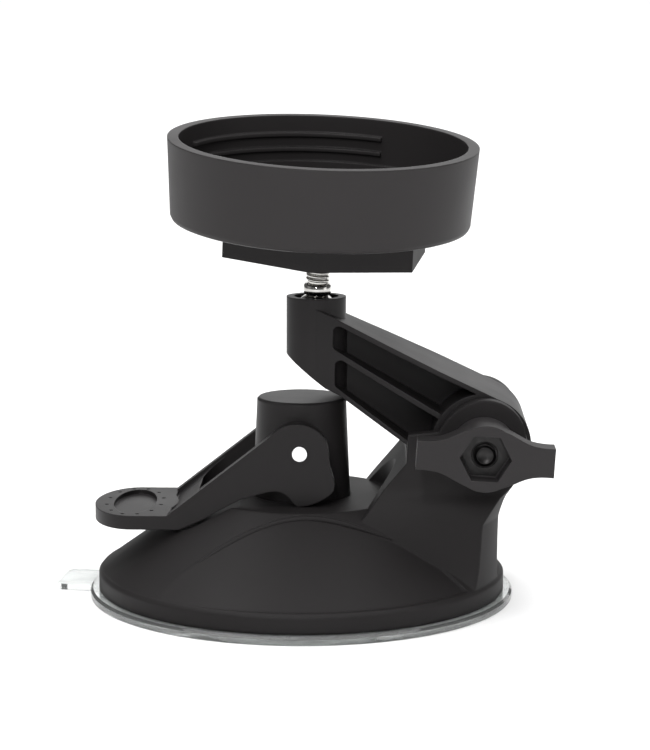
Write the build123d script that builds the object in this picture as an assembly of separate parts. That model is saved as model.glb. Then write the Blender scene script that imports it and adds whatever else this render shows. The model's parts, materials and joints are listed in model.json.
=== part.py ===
from build123d import *
import math
import os

# Suction-cup dash mount with a lever lock, a folding arm and a round twist-lock cup.
# Millimetres, +Z up from the dash. The lever points to -X, the arm's hinge is at +X
# and the clamp knob faces -Y.

# suction base
DISC_R, DISC_T = 43.0, 1.6            # clear soft disc that grips the dash
DISC_FLAT_R = 36.0                    # inside this the disc is dished
CORE_R, CORE_GAP = 14.6, 0.4          # the disc's middle, which the lever pulls up
CORE_Z0, CORE_Z1 = 1.9, 4.9
TAB_LEN, TAB_W, TAB_T, TAB_DEG = 6.8, 13.0, 1.2, 174.0
RIM_R, RIM_TOP = 41.25, 5.6           # black rim of the shell
DECK_R, DECK_Z = 20.0, 20.3           # flat top of the dome, which the cam rides on
CONE_FOOT_R = 40.5
SHELL_T = 2.2
PANEL_SHIFT = (-0.75, 0.65)           # the shallow front panel is the dome's cone moved this far

# plunger
POST_TOP_R, POST_R, POST_TOP = 9.0, 9.9, 40.3
GUIDE_GAP, GUIDE_OUT_R, GUIDE_Z0 = 0.07, 12.2, 9.6
FOOT_R, FOOT_Z0, FOOT_T = 14.2, 4.9, 2.1
SPRING_R, SPRING_WIRE_R, SPRING_TURNS, SPRING_TOP = 13.2, 0.5, 3.5, 16.9
STUD_R = 2.0

# lever
PIN_Z, PIN_R, PIN_HALF = 31.0, 1.5, 14.1
PIN_GAP = 0.05
FORK_HALF, FORK_T = 14.0, 3.0
CAM_R = 10.65                         # largest cam radius, on the deck when locked
TAB_TOP, TAB_THICK = -12.7, 2.8       # thumb tab, heights counted from the pin
TAB_MID_X, TAB_RX = -33.6, 8.4
GRIP_RX, GRIP_RY, GRIP_DEEP = 4.25, 11.4, 0.9
DOT_RX, DOT_RY, DOT_R, DOT_N = 5.7, 12.5, 0.42, 12

# arm hinge
PIVOT_X, PIVOT_Z = 36.2, 32.8
KNUCKLE_R, ARM_HALF = 9.6, 12.5
SLOT_R, SLOT_HALF = 10.3, 13.0
EAR_HALF = 16.0
BOLT_R, BORE_GAP = 2.5, 0.08
BOLT_HEX_AF, BOLT_HEX_T = 8.0, 3.5
WASHER_R, WASHER_GAP = 8.8, 0.05
KNOB_Y0, KNOB_Y1, WING_T = -17.1, -27.0, 5.2
KNOB_R, WING_LEN, WING_H, KNOB_TURN = 6.5, 13.3, 5.7, -3.3
NUT_AF, NUT_T, NUT_SINK = 8.0, 4.0, 4.6
POCKET_AF = 8.7

# arm
HEAD_X, HEAD_R, HEAD_TOP = 2.9, 6.0, 60.8
BALL_Z, BALL_R, BALL_GAP = 57.2, 4.5, 0.06
SEAT_R, SEAT_Z0, SEAT_Z1 = 4.9, 51.6, 57.6
RING_Z0, RING_Z1, RING_IN_R = 59.0, 60.0, 3.95
MOUTH_R = 4.5
WEB_HALF = 1.5
FLANGE_T, ARM_RIB_T = 1.1, 1.2

# ball stud and cup, heights counted from the ball's centre along the cup's axis
CUP_AXIS = (0.041, -0.114, 1.0)
NECK_R, NECK_TOP = 2.75, 5.7
THREAD_R = 2.4
INSERT_R = 3.8
PLATE_Z0, PLATE_T, PLATE_TURN, PLATE_SHIFT = 12.2, 6.8, -8.5, 1.2
PLATE_HALF_X, PLATE_SIDE_Y, PLATE_POINT_Y = 19.0, 9.4, 16.6
CUP_Z0, CUP_H, CUP_FOOT_R, CUP_TOP_R = 19.0, 16.25, 29.9, 30.9
CUP_FLOOR, CUP_BORE_R, CUP_MOUTH_R, CUP_MOUTH_DEEP = 2.2, 28.0, 28.7, 9.4
RIB_TOPS, RIB_T, RIB_IN_R = (3.3, 6.4), 1.25, 27.9
RIB_FROM, RIB_SPAN = 66.0, 92.0
SCREW_PCD_R, SCREW_R, SCREW_N = 14.0, 1.25, 3
HEAD_SCREW_R, SCREW_SINK = 2.4, 1.4


def tube(r, z0, z1, x=0.0, y=0.0):
    """Upright cylinder between two heights."""
    return Pos(x, y, (z0 + z1) / 2) * Cylinder(r, z1 - z0)


def rod_y(r, y0, y1, x, z):
    """Cylinder lying along Y between two depths."""
    return Pos(x, (y0 + y1) / 2, z) * Rot(90, 0, 0) * Cylinder(r, abs(y1 - y0))


def slab_xz(points, half, y_mid=0.0, r=0.0):
    """Polygon in the XZ plane, given thickness along Y both ways from y_mid."""
    face = make_face(Polyline(*points, close=True))
    if r:
        face = fillet(face.vertices(), r)
    return Pos(0, y_mid, 0) * extrude(Plane.XZ * face, half, both=True)


def spun(points):
    """Solid of revolution about Z from (radius, height) points."""
    return revolve(Plane.XZ * make_face(Polyline(*points, close=True)), Axis.Z)


def hex_rod_y(af, y0, y1, x, z, turn=0.0):
    """Hexagonal rod along Y with two corners level."""
    shape = extrude(RegularPolygon(af / math.sqrt(3), 6, rotation=turn), y1 - y0)
    return Pos(x, y0, z) * Rot(-90, 0, 0) * shape


def cup_frame():
    """Placement whose origin is the ball's centre and whose Z is the cup's axis."""
    return Plane(origin=(HEAD_X, 0, BALL_Z), x_dir=(1, 0, -CUP_AXIS[0]), z_dir=CUP_AXIS)


def dome():
    """The plain cone of the base, with its flat deck."""
    return spun([(0, 0), (CONE_FOOT_R, 0), (CONE_FOOT_R, RIM_TOP - 0.1), (DECK_R, DECK_Z), (0, DECK_Z)])


def front_panel():
    """What is shaved off the front of the dome to leave the lens-shaped panel."""
    edge = Spline((-27, -30.5), (-21.7, -26), (-15, -23.8), (-9.7, -22.2), (-4.3, -21),
                  (1.1, -20.3), (10.8, -20), (17.7, -19.5), (23.1, -18.8), (27.4, -19.7),
                  (33.5, -23.2))
    rest = Polyline(edge @ 1, (45, -32), (0, -46), (-36, -40), edge @ 0)
    region = extrude(make_face(Wire([edge] + rest.edges())), 20)
    return Pos(0, 0, RIM_TOP - 0.1) * region - Pos(*PANEL_SHIFT) * dome()


def tower_section():
    """The yoke seen along X: straight ears that flare out to meet the dome."""
    pts = [(-23.2, 2.4), (-21.2, 5.7), (-20.1, 9.0), (-19.5, 13.0), (-18.9, 17.5), (-17.4, 22.2),
           (-EAR_HALF, 28.0)]
    near = Spline(*pts, tangents=[(0.7, 1.0), (0.0, 1.0)])
    far = Spline(*[(-y, z) for y, z in pts], tangents=[(-0.7, 1.0), (0.0, 1.0)])
    over = Polyline(near @ 1, (-EAR_HALF, 50.0), (EAR_HALF, 50.0), far @ 1)
    return make_face(Wire([near, far] + over.edges() + [Line(near @ 0, far @ 0)]))


def lever_relief(sink=0.0):
    """Room scooped from the dome's top under the locked lever."""
    pts = [(-12.0, DECK_Z + 0.01), (-19.9, 16.7), (-24.4, 14.7), (-36.0, 14.7), (-36.0, 40.0), (-12.0, 40.0)]
    return slab_xz([(x, z - sink) for x, z in pts], FORK_HALF + 0.8 + sink)


def tower():
    """The yoke that rises from the dome, before its slot is cut."""
    lobe = Spline((27.4, 36.0), (29.6, 39.2), (33.0, 41.6), (36.6, 42.4), (40.4, 41.4), (43.4, 38.6),
                  (44.6, 34.8), (44.0, 30.5), (42.2, 25.6), (40.4, 21.6), (39.6, 16.0), (39.5, 10.0))
    rest = Polyline(lobe @ 1, (39.5, 3.0), (9.0, 3.0), (9.0, 14.0), (16.3, 23.9), (21.1, 29.7),
                    (21.4, 35.4), lobe @ 0)
    body = extrude(Plane.XZ * make_face(Wire([lobe] + rest.edges())), 30, both=True)
    body = body & extrude(Plane.YZ * tower_section(), 60)
    body = body & spun([(0, 0), (40.7, 0), (40.7, 18), (43.0, 23), (48, 29), (48, 50), (0, 50)])
    return body


def tower_slot():
    """Room between the ears for the arm at rest and swung right over."""
    round_room = rod_y(SLOT_R, -SLOT_HALF, SLOT_HALF, PIVOT_X, PIVOT_Z)
    over = [(8.0, 40.6), (21.6, 31.1), (31.0, 24.0), (36.2, 22.6), (48.0, 26.5),
            (50.0, 60.0), (8.0, 60.0)]
    return round_room + slab_xz(over, SLOT_HALF)


def base_shell():
    rim = spun([(0, DISC_T), (RIM_R, DISC_T), (RIM_R, RIM_TOP - 0.8), (RIM_R - 0.6, RIM_TOP - 0.1),
                (0, RIM_TOP - 0.1)])
    body = rim + (dome() - tube(60, 0, DISC_T))
    body = body - front_panel() + (tower() - tube(60, 0, DISC_T))
    hollow = spun([(0, 0), (RIM_R - SHELL_T, 0), (RIM_R - SHELL_T, RIM_TOP - 1.9),
                   (DECK_R - 1.3, DECK_Z - SHELL_T), (0, DECK_Z - SHELL_T)])
    tower_core = slab_xz([(15, 4), (20.5, 19.5), (36.8, 19.5), (36.8, 4)], 12)
    body = body - lever_relief() - (hollow - lever_relief(1.8)) - tower_core
    body = body + tube(GUIDE_OUT_R, GUIDE_Z0, DECK_Z) - tower_slot()
    body = body - tube(POST_R + GUIDE_GAP, 0, DECK_Z + 1)
    body = body - rod_y(BOLT_R, -EAR_HALF - 3, EAR_HALF + 3, PIVOT_X, PIVOT_Z)
    return body - tube(DECK_R - 1, DECK_Z, DECK_Z + 30)


def suction_disc():
    web = DISC_T
    disc = spun([(CORE_R + CORE_GAP, CORE_Z0), (DISC_FLAT_R, 0), (DISC_R, 0), (DISC_R, 1.1),
                 (DISC_R - 0.5, DISC_T), (DISC_FLAT_R, DISC_T),
                 (CORE_R + CORE_GAP, CORE_Z0 + web)])
    tab = Rot(0, 0, TAB_DEG) * Pos(DISC_R + TAB_LEN / 2 - 1, 0, TAB_T / 2) \
        * extrude(RectangleRounded(TAB_LEN + 2, TAB_W, 1.5), TAB_T / 2, both=True)
    keep = tube(DISC_R - 1, -1, 6)
    return disc + (tab - keep)


def suction_core():
    return tube(CORE_R, CORE_Z0, CORE_Z1) - core_stud()


def core_stud():
    return tube(6.0, CORE_Z0 + 1, CORE_Z0 + 2) + tube(STUD_R, CORE_Z0 + 2, 15.0)


def return_spring():
    z0 = FOOT_Z0 + FOOT_T + SPRING_WIRE_R + 0.1
    z1 = SPRING_TOP - SPRING_WIRE_R
    coil = Helix((z1 - z0) / SPRING_TURNS, z1 - z0, SPRING_R, center=(0, 0, z0))
    wire = Plane(origin=coil @ 0, z_dir=coil % 0) * Circle(SPRING_WIRE_R)
    return sweep(wire, path=coil)


def plunger_post():
    body = spun([(0, FOOT_Z0), (FOOT_R, FOOT_Z0), (FOOT_R, FOOT_Z0 + FOOT_T), (POST_R, FOOT_Z0 + FOOT_T),
                 (POST_R, DECK_Z), (POST_TOP_R + 0.02, POST_TOP - 0.4), (POST_TOP_R - 0.4, POST_TOP),
                 (0, POST_TOP)])
    body = body - rod_y(PIN_R, -12, 12, 0, PIN_Z)
    return body - tube(STUD_R, 0, 15.0)


def lever_pin():
    return rod_y(PIN_R, -PIN_HALF, PIN_HALF, 0, PIN_Z)


def fork_outline():
    """Side view of one fork plate."""
    cam = []
    for deg in range(-92, -49, 3):
        r = CAM_R - 0.55 * (deg + 92) / 42
        cam.append((r * math.cos(math.radians(deg)), r * math.sin(math.radians(deg))))
    top = [(6.9, -5.6), (6.1, -2.9), (5.75, 0.0), (5.0, 3.0), (2.8, 5.1), (0.0, 5.9),
           (-2.9, 5.5), (-5.6, 3.6)]
    arm = [(-26.4, TAB_TOP), (-28.0, TAB_TOP), (-28.0, TAB_TOP - TAB_THICK), (-24.0, TAB_TOP - TAB_THICK),
           (-19.9, -13.7), (-11.9, -9.3), (-7.5, -8.0)]
    cove = [(-7.5, -8.0), (-5.6, -7.6), (-4.2, -7.6), (-2.3, -8.6), (-1.1, -10.0), cam[0]]
    lobe, arm, cove = Spline(*cam, *top), Polyline(top[-1], *arm), Spline(*cove)
    outline = make_face(Wire([lobe] + arm.edges() + [cove]))
    return Plane.XZ * Pos(0, PIN_Z) * outline


def fork_plate(side):
    """One plate of the fork; side is -1 towards the knob's side, +1 away from it."""
    mid = side * (FORK_HALF - FORK_T / 2)
    return Pos(0, mid, 0) * extrude(fork_outline(), FORK_T / 2, both=True)


def thumb_tab():
    z0, z1 = PIN_Z + TAB_TOP - TAB_THICK, PIN_Z + TAB_TOP
    plan = Pos(TAB_MID_X, 0) * Ellipse(TAB_RX, FORK_HALF)
    plan += Pos((TAB_MID_X - 26.0) / 2, 0) * Rectangle(-26.0 - TAB_MID_X, 2 * FORK_HALF)
    tab = Pos(0, 0, z0) * extrude(plan, z1 - z0)
    tab -= Pos(TAB_MID_X - 0.3, 0, z1 - GRIP_DEEP) * extrude(Ellipse(GRIP_RX, GRIP_RY), 2)
    for i in range(DOT_N):
        a = math.radians(15 + i * 360 / DOT_N)
        tab -= tube(DOT_R, z1 - 0.4, z1 + 1, TAB_MID_X - 0.3 + DOT_RX * math.cos(a), DOT_RY * math.sin(a))
    return tab


def cam_lever():
    plates = fork_plate(-1) + fork_plate(1)
    ramp = slab_xz([(x, z + PIN_Z) for x, z in ((-27, TAB_TOP - 0.5), (-25.6, TAB_TOP - 0.5),
                    (-15.0, -4.3), (-15.0, -7.6), (-24.2, -15.3), (-27, TAB_TOP - TAB_THICK))],
                   FORK_HALF - 1)
    slot_end = Pos(-10.0, 0, PIN_Z - 20) * extrude(
        RectangleRounded(21.0, 2 * (FORK_HALF - FORK_T), 5.0), 20)
    body = plates + (ramp - slot_end) + thumb_tab()
    return body - rod_y(PIN_R + PIN_GAP, -20, 20, 0, PIN_Z)


def top_line(x):
    return 56.2 - 0.4667 * (x - 9.0)


def foot_line(x):
    return 40.3 - 0.70 * (x - 9.9)


def rib_line(x):
    return 52.3 - 0.568 * (x - 3.3)


def arm_plan():
    """The arm seen from above: narrow at the head, full width at the hinge."""
    pts = [(HEAD_X, 6.0), (8.7, 8.0), (18.0, 10.6), (27.6, ARM_HALF), (60, ARM_HALF)]
    return extrude(make_face(Polyline(*(pts + [(x, -y) for x, y in reversed(pts)]), close=True)), 90)


def arm_pockets():
    """Side pockets that leave a web, two flanges and a middle rib; one side."""
    rise = ARM_RIB_T / 2
    upper = [(6.4, rib_line(6.4) + rise), (6.4, top_line(6.4) - FLANGE_T),
             (35.0, top_line(35.0) - FLANGE_T), (35.0, rib_line(35.0) + rise)]
    lower = [(6.8, foot_line(6.8) + FLANGE_T), (6.8, rib_line(6.8) - rise), (31.0, rib_line(31.0) - rise),
             (31.0, foot_line(31.0) + FLANGE_T)]
    mid = (WEB_HALF + 20) / 2
    cut = slab_xz(upper, 10 - WEB_HALF / 2, mid, r=1.2) + slab_xz(lower, 10 - WEB_HALF / 2, mid, r=1.2)
    return cut - rod_y(KNUCKLE_R + 0.6, -30, 30, PIVOT_X, PIVOT_Z) - tube(HEAD_R + 0.4, 30, 70, HEAD_X)


def swing_arm():
    beam = slab_xz([(HEAD_X, 58.8), (HEAD_X, 44.6), (4.9, 43.0), (8.0, foot_line(8.0)),
                    (30.7, foot_line(30.7) + 0.2), (40.26, 41.5), (HEAD_X + 3, top_line(HEAD_X + 3))],
                   ARM_HALF) & arm_plan()
    knuckle = rod_y(KNUCKLE_R, -ARM_HALF, ARM_HALF, PIVOT_X, PIVOT_Z)
    pockets = arm_pockets()
    beam = beam - pockets - mirror(pockets, Plane.XZ)
    head = tube(HEAD_R, 40, HEAD_TOP, HEAD_X) - slab_xz(
        [(-10, 30), (-10, 54.9), (4.9, 42.8), (12, foot_line(12)), (12, 30)], 10)
    body = beam + knuckle + head
    body -= tube(SEAT_R, SEAT_Z0, HEAD_TOP + 1, HEAD_X)
    body += (tube(SEAT_R, RING_Z1, HEAD_TOP, HEAD_X) - tube(MOUTH_R, RING_Z1 - 1, HEAD_TOP + 1, HEAD_X))
    return body - rod_y(BOLT_R + BORE_GAP, -20, 20, PIVOT_X, PIVOT_Z)


def ball_room():
    return Pos(HEAD_X, 0, BALL_Z) * Sphere(BALL_R + BALL_GAP)


def ball_seat():
    return tube(SEAT_R, SEAT_Z0, SEAT_Z1, HEAD_X) - ball_room()


def retaining_ring():
    return tube(SEAT_R, RING_Z0, RING_Z1, HEAD_X) - tube(RING_IN_R, 50, 70, HEAD_X) - ball_room()


def hinge_washer(y0):
    return rod_y(WASHER_R, y0, y0 + 0.45, PIVOT_X, PIVOT_Z) - rod_y(BOLT_R, -20, 20, PIVOT_X, PIVOT_Z)


def hinge_bolt():
    head = hex_rod_y(BOLT_HEX_AF, EAR_HALF, EAR_HALF + BOLT_HEX_T, PIVOT_X, PIVOT_Z)
    shank = rod_y(BOLT_R, KNOB_Y1 + NUT_SINK + 0.1, EAR_HALF, PIVOT_X, PIVOT_Z)
    return shank + head


def knob_washer():
    ring = rod_y(6.2, -EAR_HALF, -EAR_HALF - 1.0, PIVOT_X, PIVOT_Z)
    return ring - rod_y(BOLT_R, -30, 0, PIVOT_X, PIVOT_Z)


def clamp_knob():
    hub = Cylinder(KNOB_R, KNOB_Y0 - KNOB_Y1)
    sweep_in = [(WING_LEN, WING_H / 2), (10.6, WING_H / 2 + 0.05), (8.3, 3.35), (6.0, 4.4), (3.3, 5.58)]
    edges = [Spline(*[(sx * x, sy * y) for x, y in sweep_in]) for sx in (1, -1) for sy in (1, -1)]
    edges += [Line((sx * WING_LEN, -WING_H / 2), (sx * WING_LEN, WING_H / 2)) for sx in (1, -1)]
    edges += [Line((-3.3, sy * 5.58), (3.3, sy * 5.58)) for sy in (1, -1)]
    face_z = (KNOB_Y0 - KNOB_Y1) / 2
    knob = hub + Pos(0, 0, face_z - WING_T) * extrude(make_face(Wire(edges)), WING_T)
    place = Pos(PIVOT_X, (KNOB_Y0 + KNOB_Y1) / 2, PIVOT_Z) * Rot(90, 0, 0) * Rot(0, 0, KNOB_TURN)
    knob = place * knob
    knob -= hex_rod_y(POCKET_AF, KNOB_Y1 - 1, KNOB_Y1 + NUT_SINK, PIVOT_X, PIVOT_Z, -KNOB_TURN)
    knob -= hex_rod_y(NUT_AF, KNOB_Y1, KNOB_Y1 + NUT_SINK + NUT_T, PIVOT_X, PIVOT_Z, -KNOB_TURN)
    return knob - rod_y(BOLT_R + BORE_GAP, -30, 0, PIVOT_X, PIVOT_Z)


def knob_nut():
    y0 = KNOB_Y1 + NUT_SINK
    nut = hex_rod_y(NUT_AF, y0, y0 + NUT_T, PIVOT_X, PIVOT_Z, -KNOB_TURN)
    return nut - rod_y(BOLT_R + BORE_GAP, -30, 0, PIVOT_X, PIVOT_Z)


def ball():
    return Pos(HEAD_X, 0, BALL_Z) * Sphere(BALL_R)


def ball_stud():
    stud = tube(NECK_R, 3.0, NECK_TOP) + tube(THREAD_R, NECK_TOP, PLATE_Z0 + 4.6)
    return cup_frame() * (stud - Sphere(BALL_R + 0.05))


def plate_insert():
    body = tube(INSERT_R, PLATE_Z0 - 0.4, PLATE_Z0 + 5.0) - tube(THREAD_R + 0.07, 0, PLATE_Z0 + 4.8)
    return cup_frame() * body


def screw_spots():
    return [(SCREW_PCD_R * math.cos(math.radians(a)), SCREW_PCD_R * math.sin(math.radians(a)))
            for a in (30 + 360 / SCREW_N * i for i in range(SCREW_N))]


def plate_screw(i):
    x, y = screw_spots()[i]
    floor = CUP_Z0 + CUP_FLOOR
    body = tube(SCREW_R, PLATE_Z0 + 1.4, floor, x, y) + tube(HEAD_SCREW_R, floor - SCREW_SINK, floor, x, y)
    slot = Pos(x, y, floor) * (Box(3.0, 0.6, 1.2) + Box(0.6, 3.0, 1.2))
    return cup_frame() * (body - slot)


def mount_plate():
    corners = [(-PLATE_HALF_X, -PLATE_SIDE_Y), (0, -PLATE_POINT_Y), (PLATE_HALF_X, -PLATE_SIDE_Y),
               (PLATE_HALF_X, PLATE_SIDE_Y), (0, PLATE_POINT_Y), (-PLATE_HALF_X, PLATE_SIDE_Y)]
    outline = make_face(Polyline(*corners, close=True))
    plate = Pos(PLATE_SHIFT, 0, PLATE_Z0) * Rot(0, 0, PLATE_TURN) * extrude(outline, PLATE_T)
    plate -= tube(INSERT_R, 0, PLATE_Z0 + 5.0)
    for x, y in screw_spots():
        plate -= tube(SCREW_R, PLATE_Z0 + 1.4, 40, x, y)
    return cup_frame() * plate


def twist_ribs():
    """Two facing pairs of short ribs that a twisted-in foot locks under."""
    top = CUP_Z0 + CUP_H
    ribs = None
    for drop in RIB_TOPS:
        ring = spun([(RIB_IN_R, top - drop - RIB_T + 0.25), (CUP_MOUTH_R + 0.6, top - drop - RIB_T),
                     (CUP_MOUTH_R + 0.6, top - drop), (RIB_IN_R, top - drop - 0.25)])
        for turn in (RIB_FROM, RIB_FROM + 180):
            half = math.radians(RIB_SPAN / 2)
            far_x, far_y = 60 * math.cos(half), 60 * math.sin(half)
            wedge = extrude(make_face(Polyline((0, 0), (far_x, -far_y), (60, 0), (far_x, far_y),
                                               close=True)), 90)
            piece = ring & Rot(0, 0, turn + RIB_SPAN / 2) * wedge
            ribs = piece if ribs is None else ribs + piece
    return ribs


def holder_cup():
    z0, z1 = CUP_Z0, CUP_Z0 + CUP_H
    slope = (CUP_TOP_R - CUP_FOOT_R) / CUP_H
    body = spun([(0, z0), (CUP_FOOT_R - 0.9, z0), (CUP_FOOT_R - 0.25, z0 + 0.25),
                 (CUP_FOOT_R + 0.9 * slope, z0 + 0.9), (CUP_TOP_R, z1), (0, z1)])
    body -= tube(CUP_BORE_R, z0 + CUP_FLOOR, z1 + 1)
    body -= tube(CUP_MOUTH_R, z1 - CUP_MOUTH_DEEP, z1 + 1)
    body += twist_ribs()
    for x, y in screw_spots():
        body -= tube(SCREW_R, 0, z1, x, y) + tube(HEAD_SCREW_R, z0 + CUP_FLOOR - SCREW_SINK, z1, x, y)
    return cup_frame() * body


NODES = {
    "base_shell": base_shell, "suction_disc": suction_disc, "suction_core": suction_core,
    "core_stud": core_stud, "return_spring": return_spring, "plunger_post": plunger_post,
    "lever_pin": lever_pin, "cam_lever": cam_lever, "swing_arm": swing_arm,
    "hinge_washer_near": lambda: hinge_washer(-SLOT_HALF),
    "hinge_washer_far": lambda: hinge_washer(SLOT_HALF - 0.45),
    "hinge_bolt": hinge_bolt, "knob_washer": knob_washer, "clamp_knob": clamp_knob,
    "knob_nut": knob_nut, "ball_seat": ball_seat, "retaining_ring": retaining_ring,
    "ball": ball, "ball_stud": ball_stud, "plate_insert": plate_insert,
    "mount_plate": mount_plate, "holder_cup": holder_cup,
    "plate_screw_1": lambda: plate_screw(0), "plate_screw_2": lambda: plate_screw(1),
    "plate_screw_3": lambda: plate_screw(2),
}

os.makedirs("parts", exist_ok=True)
for name, make in NODES.items():
    export_step(make(), f"parts/{name}.step")
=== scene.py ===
import json
import math

import bmesh
import bpy
from mathutils import Matrix, Vector


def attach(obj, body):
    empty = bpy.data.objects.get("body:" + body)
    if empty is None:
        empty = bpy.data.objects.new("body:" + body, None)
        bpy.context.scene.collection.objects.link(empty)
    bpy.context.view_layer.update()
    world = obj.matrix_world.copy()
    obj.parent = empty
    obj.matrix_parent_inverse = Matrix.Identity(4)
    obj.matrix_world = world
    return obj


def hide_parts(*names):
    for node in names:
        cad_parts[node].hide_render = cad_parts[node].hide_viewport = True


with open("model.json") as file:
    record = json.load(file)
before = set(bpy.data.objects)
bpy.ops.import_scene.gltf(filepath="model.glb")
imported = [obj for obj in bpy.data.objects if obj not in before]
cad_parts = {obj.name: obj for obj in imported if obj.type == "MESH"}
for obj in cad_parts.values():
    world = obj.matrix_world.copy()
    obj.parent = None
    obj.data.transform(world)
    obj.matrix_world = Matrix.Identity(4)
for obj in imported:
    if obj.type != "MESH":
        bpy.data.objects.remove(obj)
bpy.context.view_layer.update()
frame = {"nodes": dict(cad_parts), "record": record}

MM = 0.001
BALL = Vector((2.9, 0, 57.2)) * MM
CUP_AXIS = Vector((0.041, -0.114, 1.0)).normalized()
PIVOT = Vector((36.2, 0, 32.8)) * MM
DECK_R, DECK_Z, DOME_FALL = 20.0, 20.3, 0.722
PANEL_EDGE = [(-24.5, -28.0), (-21.7, -26), (-18.2, -24.9), (-15, -23.8), (-9.7, -22.2), (-4.3, -21),
              (1.1, -20.3), (6.0, -20.1), (10.8, -20), (14.5, -19.7), (18.5, -19.3)]

# ---------------------------------------------------------------- materials


def shader(name):
    """A new node material with its shader, and short helpers for adding nodes."""
    mat = bpy.data.materials.new(name)
    mat.use_nodes = True
    tree = mat.node_tree
    return mat, tree, tree.nodes["Principled BSDF"]


def node(tree, kind, **values):
    n = tree.nodes.new(kind)
    for key, value in values.items():
        if key.startswith("in_"):
            n.inputs[key[3:].replace("_", " ")].default_value = value
        else:
            setattr(n, key, value)
    return n


def noise(tree, scale, detail=2.0, rough=0.5, stretch=None):
    """Noise in object coordinates; stretch squeezes it along an axis for brushed marks."""
    where = node(tree, "ShaderNodeTexCoord").outputs["Object"]
    if stretch:
        mapping = node(tree, "ShaderNodeMapping", in_Scale=stretch)
        tree.links.new(where, mapping.inputs["Vector"])
        where = mapping.outputs["Vector"]
    n = node(tree, "ShaderNodeTexNoise", in_Scale=scale, in_Detail=detail, in_Roughness=rough)
    tree.links.new(where, n.inputs["Vector"])
    return n.outputs["Fac"]


def remap(tree, value, a, b, lo, hi):
    m = node(tree, "ShaderNodeMapRange")
    for i, x in enumerate((a, b, lo, hi)):
        m.inputs[i + 1].default_value = x
    tree.links.new(value, m.inputs[0])
    return m.outputs[0]


def multiply(tree, one, two):
    m = node(tree, "ShaderNodeMath", operation="MULTIPLY")
    tree.links.new(one, m.inputs[0])
    tree.links.new(two, m.inputs[1])
    return m.outputs[0]


def edge_mask(tree, rounded):
    """Bright on corners: how far the rounded normal leans from the flat one."""
    flat = node(tree, "ShaderNodeNewGeometry").outputs["Normal"]
    dot = node(tree, "ShaderNodeVectorMath", operation="DOT_PRODUCT")
    tree.links.new(rounded, dot.inputs[0])
    tree.links.new(flat, dot.inputs[1])
    return remap(tree, dot.outputs["Value"], 0.985, 0.80, 0.0, 1.0)


def moulded(name, tone, rough=0.42, grain=5200.0, depth=0.000012, edge=0.00035, wear_and_highlight=0.35,
            sheen=0.12, swirl=38.0):
    """Black moulded plastic: fine tool grain, slow flow marks, and edges painted lighter, partly handling
    wear and partly a painted highlight.
    """
    mat, tree, bsdf = shader(name)
    rounded = node(tree, "ShaderNodeBevel", samples=6)
    rounded.inputs["Radius"].default_value = edge
    fine, slow = noise(tree, grain, 3.0, 0.62), noise(tree, swirl, 4.0, 0.55)
    mask = edge_mask(tree, rounded.outputs["Normal"])
    scuffs = noise(tree, 420.0, 6.0, 0.7)
    # Edge mask broken up by scuff noise: partly real wear, partly a painted highlight on every corner
    edge_wear_and_highlight = multiply(tree, mask, remap(tree, scuffs, 0.35, 0.65, 0.35, 1.0))
    ramp = node(tree, "ShaderNodeMix", data_type="RGBA")
    ramp.inputs[6].default_value = (*[c * 0.86 for c in tone], 1)
    ramp.inputs[7].default_value = (*[c * 1.16 for c in tone], 1)
    tree.links.new(slow, ramp.inputs[0])
    # Corners painted lighter than the tone: partly rubbed wear, partly a painted highlight
    rubbed_and_lit_edges = node(tree, "ShaderNodeMix", data_type="RGBA")
    rubbed_and_lit_edges.inputs[7].default_value = (*[c + 0.035 for c in tone], 1)
    tree.links.new(multiply(tree, edge_wear_and_highlight, remap(tree, edge_wear_and_highlight, 0, 1, 0, wear_and_highlight)), rubbed_and_lit_edges.inputs[0])
    tree.links.new(ramp.outputs[2], rubbed_and_lit_edges.inputs[6])
    tree.links.new(rubbed_and_lit_edges.outputs[2], bsdf.inputs["Base Color"])
    dull = multiply(tree, remap(tree, slow, 0.3, 0.7, rough - 0.05, rough + 0.07),
                    remap(tree, edge_wear_and_highlight, 0, 1, 1.0, 0.80))
    tree.links.new(dull, bsdf.inputs["Roughness"])
    bump = node(tree, "ShaderNodeBump", in_Strength=0.55, in_Distance=depth)
    tree.links.new(fine, bump.inputs["Height"])
    tree.links.new(rounded.outputs["Normal"], bump.inputs["Normal"])
    tree.links.new(bump.outputs["Normal"], bsdf.inputs["Normal"])
    bsdf.inputs["Specular IOR Level"].default_value = sheen
    return mat


def metal(name, tone, rough, streak=(1, 1, 1), grain=900.0, depth=0.000004, edge=0.00012):
    """Plated or turned metal with tool marks, faint tarnish and brighter rubbed corners."""
    mat, tree, bsdf = shader(name)
    rounded = node(tree, "ShaderNodeBevel", samples=6)
    rounded.inputs["Radius"].default_value = edge
    marks, stain = noise(tree, grain, 3.0, 0.6, streak), noise(tree, 260.0, 4.0, 0.6)
    mask = edge_mask(tree, rounded.outputs["Normal"])
    ramp = node(tree, "ShaderNodeMix", data_type="RGBA")
    ramp.inputs[6].default_value = (*[c * 0.80 for c in tone], 1)
    ramp.inputs[7].default_value = (*[min(1, c * 1.06) for c in tone], 1)
    tree.links.new(remap(tree, stain, 0.3, 0.7, 0, 1), ramp.inputs[0])
    tree.links.new(ramp.outputs[2], bsdf.inputs["Base Color"])
    bsdf.inputs["Metallic"].default_value = 1.0
    tree.links.new(multiply(tree, remap(tree, marks, 0.3, 0.7, rough * 0.75, rough * 1.3),
                            remap(tree, mask, 0, 1, 1.0, 0.7)), bsdf.inputs["Roughness"])
    bump = node(tree, "ShaderNodeBump", in_Strength=0.5, in_Distance=depth)
    tree.links.new(marks, bump.inputs["Height"])
    tree.links.new(rounded.outputs["Normal"], bump.inputs["Normal"])
    tree.links.new(bump.outputs["Normal"], bsdf.inputs["Normal"])
    return mat


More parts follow.
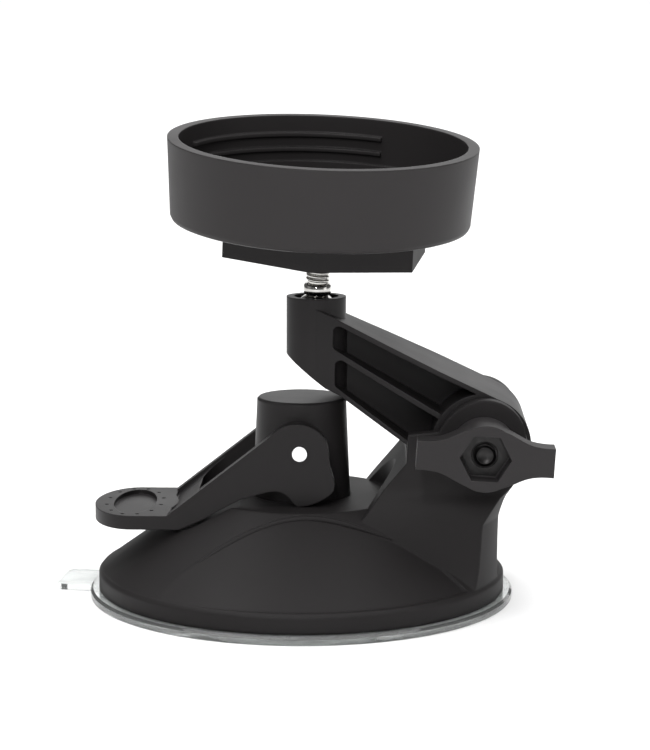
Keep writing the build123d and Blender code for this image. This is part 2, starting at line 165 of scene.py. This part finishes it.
def clear_soft(name):
    """Clear soft plastic: slightly wavy, faintly grey where it is thick, with fine dust."""
    mat, tree, bsdf = shader(name)
    waves, dust = noise(tree, 70.0, 3.0, 0.5), noise(tree, 2600.0, 4.0, 0.7)
    tint = node(tree, "ShaderNodeMix", data_type="RGBA")
    tint.inputs[6].default_value = (0.93, 0.95, 0.94, 1)
    tint.inputs[7].default_value = (0.84, 0.87, 0.86, 1)
    tree.links.new(remap(tree, waves, 0.3, 0.7, 0, 1), tint.inputs[0])
    tree.links.new(tint.outputs[2], bsdf.inputs["Base Color"])
    tree.links.new(remap(tree, dust, 0.45, 0.8, 0.05, 0.28), bsdf.inputs["Roughness"])
    bsdf.inputs["Transmission Weight"].default_value = 0.94
    bsdf.inputs["IOR"].default_value = 1.47
    bump = node(tree, "ShaderNodeBump", in_Strength=0.35, in_Distance=0.0004)
    tree.links.new(waves, bump.inputs["Height"])
    tree.links.new(bump.outputs["Normal"], bsdf.inputs["Normal"])
    return mat


BLACK = (0.0185, 0.0170, 0.0174)
MAT = {
    "shell_plastic": moulded("Dome plastic", (0.0150, 0.0137, 0.0140), 0.52, edge=0.0008, swirl=24.0),
    "post_plastic": moulded("Post plastic", BLACK, 0.44),
    "lever_plastic": moulded("Lever plastic", (0.0180, 0.0166, 0.0170), 0.44, wear_and_highlight=0.6),
    "arm_plastic": moulded("Arm plastic", (0.0180, 0.0166, 0.0170), 0.42),
    "knob_plastic": moulded("Knob plastic", (0.0260, 0.0242, 0.0248), 0.46, wear_and_highlight=0.6),
    "plate_plastic": moulded("Plate plastic", (0.0170, 0.0157, 0.0160), 0.52),
    "cup_plastic": moulded("Cup plastic", (0.0240, 0.0220, 0.0224), 0.46, depth=0.000008, edge=0.00045,
                           wear_and_highlight=0.5, sheen=0.16),
    "seat_plastic": moulded("Socket plastic", (0.18, 0.18, 0.18), 0.5, grain=1800.0),
    "clear_disc": clear_soft("Clear soft disc"),
    "chrome_stud": metal("Plated stud", (0.50, 0.49, 0.47), 0.14),
    "bright_pin": metal("Turned pin", (0.86, 0.86, 0.86), 0.30, (1, 0.2, 1), 1600.0),
    "black_bolt": metal("Blackened steel", (0.035, 0.034, 0.034), 0.38),
    "zinc_steel": metal("Zinc plated steel", (0.34, 0.345, 0.355), 0.44),
    "spring_steel": metal("Spring wire", (0.58, 0.58, 0.60), 0.26),
    "brass_insert": metal("Turned brass", (0.72, 0.53, 0.24), 0.28),
}
for part in frame["record"]["subparts"]:
    piece = frame["nodes"][part["node"]]
    piece.data.materials.clear()
    piece.data.materials.append(MAT[part["material_slot"]])

# ------------------------------------------------------- pieces beyond the frame


def mesh_object(name, bm, mat):
    mesh = bpy.data.meshes.new(name)
    bmesh.ops.recalc_face_normals(bm, faces=bm.faces)
    bm.to_mesh(mesh)
    bm.free()
    mesh.materials.append(mat)
    obj = bpy.data.objects.new(name, mesh)
    bpy.context.scene.collection.objects.link(obj)
    return obj


def lathe(name, profile, place, mat, steps=64):
    """Turned solid from (radius, height) points in mm, closed at both ends, set by a matrix."""
    bm = bmesh.new()
    rings = []
    for r, z in profile:
        if r == 0:
            rings.append([bm.verts.new(place @ Vector((0, 0, z * MM)))])
        else:
            angles = [2 * math.pi * i / steps for i in range(steps)]
            rings.append([bm.verts.new(place @ Vector((r * MM * math.cos(a), r * MM * math.sin(a), z * MM)))
                          for a in angles])
    for lower, upper in zip(rings, rings[1:]):
        for i in range(steps):
            j = (i + 1) % steps
            quad = [lower[i % len(lower)], lower[j % len(lower)],
                    upper[j % len(upper)], upper[i % len(upper)]]
            corners = list(dict.fromkeys(quad))
            if len(corners) > 2:
                bm.faces.new(corners)
    obj = mesh_object(name, bm, mat)
    for face in obj.data.polygons:
        face.use_smooth = True
    obj.data.set_sharp_from_angle(angle=math.radians(35))
    return obj


def thread_tree():
    """Geometry Nodes: a screw thread wound up Z, with its sizes as named inputs."""
    tree = bpy.data.node_groups.new("Screw thread", "GeometryNodeTree")
    face = tree.interface
    face.new_socket("Geometry", in_out="INPUT", socket_type="NodeSocketGeometry")
    for label, start in (("Radius", 0.002), ("Length", 0.004), ("Turns", 6.0), ("Ridge", 0.0003)):
        socket = face.new_socket(label, in_out="INPUT", socket_type="NodeSocketFloat")
        socket.default_value = start
    face.new_socket("Material", in_out="INPUT", socket_type="NodeSocketMaterial")
    face.new_socket("Geometry", in_out="OUTPUT", socket_type="NodeSocketGeometry")
    start, end = tree.nodes.new("NodeGroupInput"), tree.nodes.new("NodeGroupOutput")
    spiral = tree.nodes.new("GeometryNodeCurveSpiral")
    spiral.inputs["Resolution"].default_value = 40
    ridge = tree.nodes.new("GeometryNodeCurvePrimitiveCircle")
    ridge.inputs["Resolution"].default_value = 6
    sweep = tree.nodes.new("GeometryNodeCurveToMesh")
    sweep.inputs["Fill Caps"].default_value = True
    realize = tree.nodes.new("GeometryNodeRealizeInstances")
    paint = tree.nodes.new("GeometryNodeSetMaterial")
    link = tree.links.new
    link(start.outputs["Turns"], spiral.inputs["Rotations"])
    link(start.outputs["Radius"], spiral.inputs["Start Radius"])
    link(start.outputs["Radius"], spiral.inputs["End Radius"])
    link(start.outputs["Length"], spiral.inputs["Height"])
    link(start.outputs["Ridge"], ridge.inputs["Radius"])
    link(spiral.outputs["Curve"], sweep.inputs["Curve"])
    link(ridge.outputs["Curve"], sweep.inputs["Profile Curve"])
    link(sweep.outputs["Mesh"], realize.inputs["Geometry"])
    link(realize.outputs["Geometry"], paint.inputs["Geometry"])
    link(start.outputs["Material"], paint.inputs["Material"])
    link(paint.outputs["Geometry"], end.inputs["Geometry"])
    return tree


def grow(name, tree, values, place):
    """Runs a Geometry Nodes tree with these named inputs and keeps its plain mesh."""
    seed = bpy.data.objects.new(name + "_seed", bpy.data.meshes.new(name + "_seed"))
    bpy.context.scene.collection.objects.link(seed)
    mod = seed.modifiers.new("grow", "NODES")
    mod.node_group = tree
    ids = {s.name: s.identifier for s in tree.interface.items_tree
           if s.item_type == "SOCKET" and s.in_out == "INPUT"}
    for label, value in values.items():
        mod[ids[label]] = value
    graph = bpy.context.evaluated_depsgraph_get()
    mesh = bpy.data.meshes.new_from_object(seed.evaluated_get(graph))
    mesh.name = name
    bpy.data.objects.remove(seed)
    mesh.transform(place)
    bm = bmesh.new()
    bm.from_mesh(mesh)
    bmesh.ops.remove_doubles(bm, verts=bm.verts, dist=1e-7)
    bmesh.ops.recalc_face_normals(bm, faces=bm.faces)
    bm.to_mesh(mesh)
    bm.free()
    obj = bpy.data.objects.new(name, mesh)
    bpy.context.scene.collection.objects.link(obj)
    for polygon in mesh.polygons:
        polygon.use_smooth = True
    return obj


def along(origin, direction):
    """Matrix that stands a shape drawn up Z on this point, pointing this way."""
    turn = direction.to_track_quat("Z", "Y").to_matrix().to_4x4()
    return Matrix.Translation(origin) @ turn


def make_stud():
    """The stud: neck, collar and a cut thread that runs up into the plate."""
    stand = along(BALL, CUP_AXIS)
    body = lathe("stud_turned", [(0, 3.9), (1.9, 3.9), (2.55, 4.15), (2.75, 4.5), (2.75, 5.9), (2.5, 6.3),
                                 (1.95, 6.5), (1.95, 16.3), (1.6, 16.7), (0, 16.7)], stand,
                 MAT["chrome_stud"])
    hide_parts("ball_stud")
    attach(body, "stud")
    thread = grow("stud_thread", thread_tree(),
                  {"Radius": 2.02 * MM, "Length": 9.4 * MM, "Turns": 11.75, "Ridge": 0.36 * MM,
                   "Material": MAT["chrome_stud"]}, stand @ Matrix.Translation((0, 0, 6.9 * MM)))
    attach(thread, "stud")


def make_bolt_end():
    """The turned end of the hinge bolt that shows in the knob's pocket, with its last threads."""
    out = along(PIVOT + Vector((0, -22.2 * MM, 0)), Vector((0, -1, 0)))
    end = lathe("bolt_end", [(0, 0.0), (2.12, 0.0), (2.12, 0.75), (1.62, 1.2), (1.5, 1.2), (1.3, 1.05),
                             (0, 1.0)], out, MAT["black_bolt"])
    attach(end, "base")
    thread = grow("bolt_thread", bpy.data.node_groups["Screw thread"],
                  {"Radius": 2.1 * MM, "Length": 0.5 * MM, "Turns": 0.9, "Ridge": 0.2 * MM,
                   "Material": MAT["black_bolt"]}, out @ Matrix.Translation((0, 0, 0.25 * MM)))
    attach(thread, "base")


def on_dome(x, y):
    """Point on the dome's cone, in mm."""
    return Vector((x, y, DECK_Z - (math.hypot(x, y) - DECK_R) * DOME_FALL))


def make_panel_bead():
    """Soft rounded bead along the top edge of the dome's front panel; it dies out at both ends."""
    spots = [on_dome(x, y) for x, y in PANEL_EDGE]
    curve = bpy.data.curves.new("panel_bead", "CURVE")
    curve.dimensions, curve.bevel_depth, curve.bevel_resolution = "3D", 1.0, 4
    curve.use_fill_caps = True
    line = curve.splines.new("NURBS")
    line.points.add(len(spots) - 1)
    line.use_endpoint_u, line.order_u, line.resolution_u = True, 4, 8
    for i, (point, spot) in enumerate(zip(line.points, spots)):
        fade = min(1.0, i / 3, (len(spots) - 1 - i) / 2)
        point.co = (*((spot - Vector((0, 0, 0.42))) * MM), 1)
        point.radius = (0.12 + 0.50 * fade) * MM
    seed = bpy.data.objects.new("panel_bead_seed", curve)
    bpy.context.scene.collection.objects.link(seed)
    mesh = bpy.data.meshes.new_from_object(seed.evaluated_get(bpy.context.evaluated_depsgraph_get()))
    bpy.data.objects.remove(seed)
    bm = bmesh.new()
    bm.from_mesh(mesh)
    bmesh.ops.remove_doubles(bm, verts=bm.verts, dist=1e-7)
    bead = mesh_object("panel_bead", bm, MAT["shell_plastic"])
    for face in bead.data.polygons:
        face.use_smooth = True
    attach(bead, "base")


make_stud()
make_bolt_end()
make_panel_bead()

# ---------------------------------------------------------------- studio

CAMERA_ROUND = 0.03                      # camera's turn about the mount, rad
CAMERA_AIM = (0.0096, -0.1602, 0.0036)   # yaw, pitch and roll, rad
CAMERA_AWAY, CAMERA_UP = 0.490, 0.12382
SENSOR, FOCAL_RATIO = 36.0, 2453.35 / 750
FLOOR_SIDE, FLOOR_NEAR, FLOOR_FAR, FLOOR_DROP = 9, -2, 24, 0.0001
SOFTBOXES = [                            # name, place, aim height, size, watts
    ("top_box", (-0.05, 0.10, 0.75), 0.03, (0.9, 0.7), 2.0),
    ("back_box", (0.3, 2.3, 0.95), 0.05, (2.4, 1.3), 12.5),
    ("left_box", (-0.75, -0.25, 0.35), 0.05, (0.5, 0.7), 0.3),
    ("right_box", (0.80, -0.30, 0.30), 0.05, (0.4, 0.6), 1.2),
    ("front_strip", (-0.16, -1.0, 0.62), 0.08, (0.12, 0.6), 6.0),
]
OVERHEAD_POWER, OVERHEAD_SPREAD = 3.1, 75
ROOM_LIGHT = 0.16


def studio_floor():
    """A plain pale floor, wide enough to fill the whole view behind the mount."""
    bm = bmesh.new()
    spots = ((-FLOOR_SIDE, FLOOR_NEAR), (FLOOR_SIDE, FLOOR_NEAR), (FLOOR_SIDE, FLOOR_FAR),
             (-FLOOR_SIDE, FLOOR_FAR))
    corners = [bm.verts.new((x, y, -FLOOR_DROP)) for x, y in spots]
    bm.faces.new(corners)
    mat, tree, bsdf = shader("Studio paper")
    slow = noise(tree, 3.0, 2.0)
    tint = node(tree, "ShaderNodeMix", data_type="RGBA")
    tint.inputs[6].default_value = (0.90, 0.90, 0.90, 1)
    tint.inputs[7].default_value = (0.93, 0.93, 0.93, 1)
    tree.links.new(slow, tint.inputs[0])
    tree.links.new(tint.outputs[2], bsdf.inputs["Base Color"])
    bsdf.inputs["Roughness"].default_value = 0.9
    bsdf.inputs["Specular IOR Level"].default_value = 0.1
    return mesh_object("studio_floor", bm, mat)


def softbox(name, place, aim_height, size, watts):
    """Rectangular lamp that faces the mount's upright axis."""
    lamp = bpy.data.lights.new(name, "AREA")
    lamp.shape, lamp.size, lamp.size_y = "RECTANGLE", size[0], size[1]
    lamp.energy = watts
    obj = bpy.data.objects.new(name, lamp)
    obj.location = place
    obj.rotation_euler = (Vector((0, 0, aim_height)) - Vector(place)).to_track_quat("-Z", "Y").to_euler()
    bpy.context.scene.collection.objects.link(obj)


def overhead():
    """Even light from straight above, so that the floor stays white to its far end."""
    lamp = bpy.data.lights.new("overhead", "SUN")
    lamp.energy, lamp.angle = OVERHEAD_POWER, math.radians(OVERHEAD_SPREAD)
    obj = bpy.data.objects.new("overhead", lamp)
    bpy.context.scene.collection.objects.link(obj)


def view_camera():
    """Camera at the viewpoint, with its own axes given as right, up and forward."""
    cam = bpy.data.objects.new("camera", bpy.data.cameras.new("camera"))
    bpy.context.scene.collection.objects.link(cam)
    yaw, pitch, roll = CAMERA_AIM
    forward = Vector((math.sin(yaw) * math.cos(pitch), math.cos(yaw) * math.cos(pitch), math.sin(pitch)))
    right = Vector((math.cos(yaw), -math.sin(yaw), 0))
    up = right.cross(forward)
    right, up = (right * math.cos(roll) + up * math.sin(roll), up * math.cos(roll) - right * math.sin(roll))
    spin = Matrix.Rotation(CAMERA_ROUND, 3, "Z")
    right, up, forward = spin @ right, spin @ up, spin @ forward
    place = spin @ Vector((0, -CAMERA_AWAY, CAMERA_UP))
    basis = Matrix((right, up, -forward)).transposed().to_4x4()
    cam.matrix_world = Matrix.Translation(place) @ basis
    cam.data.sensor_width = SENSOR
    cam.data.lens = FOCAL_RATIO * SENSOR
    cam.data.clip_start, cam.data.clip_end = 0.01, 60
    bpy.context.scene.camera = cam


studio_floor()
for box in SOFTBOXES:
    softbox(*box)
overhead()
world = bpy.data.worlds.new("studio")
world.use_nodes = True
world.node_tree.nodes["Background"].inputs["Color"].default_value = (1, 1, 1, 1)
world.node_tree.nodes["Background"].inputs["Strength"].default_value = ROOM_LIGHT
bpy.context.scene.world = world
bpy.context.scene.view_settings.view_transform = "Standard"
view_camera()
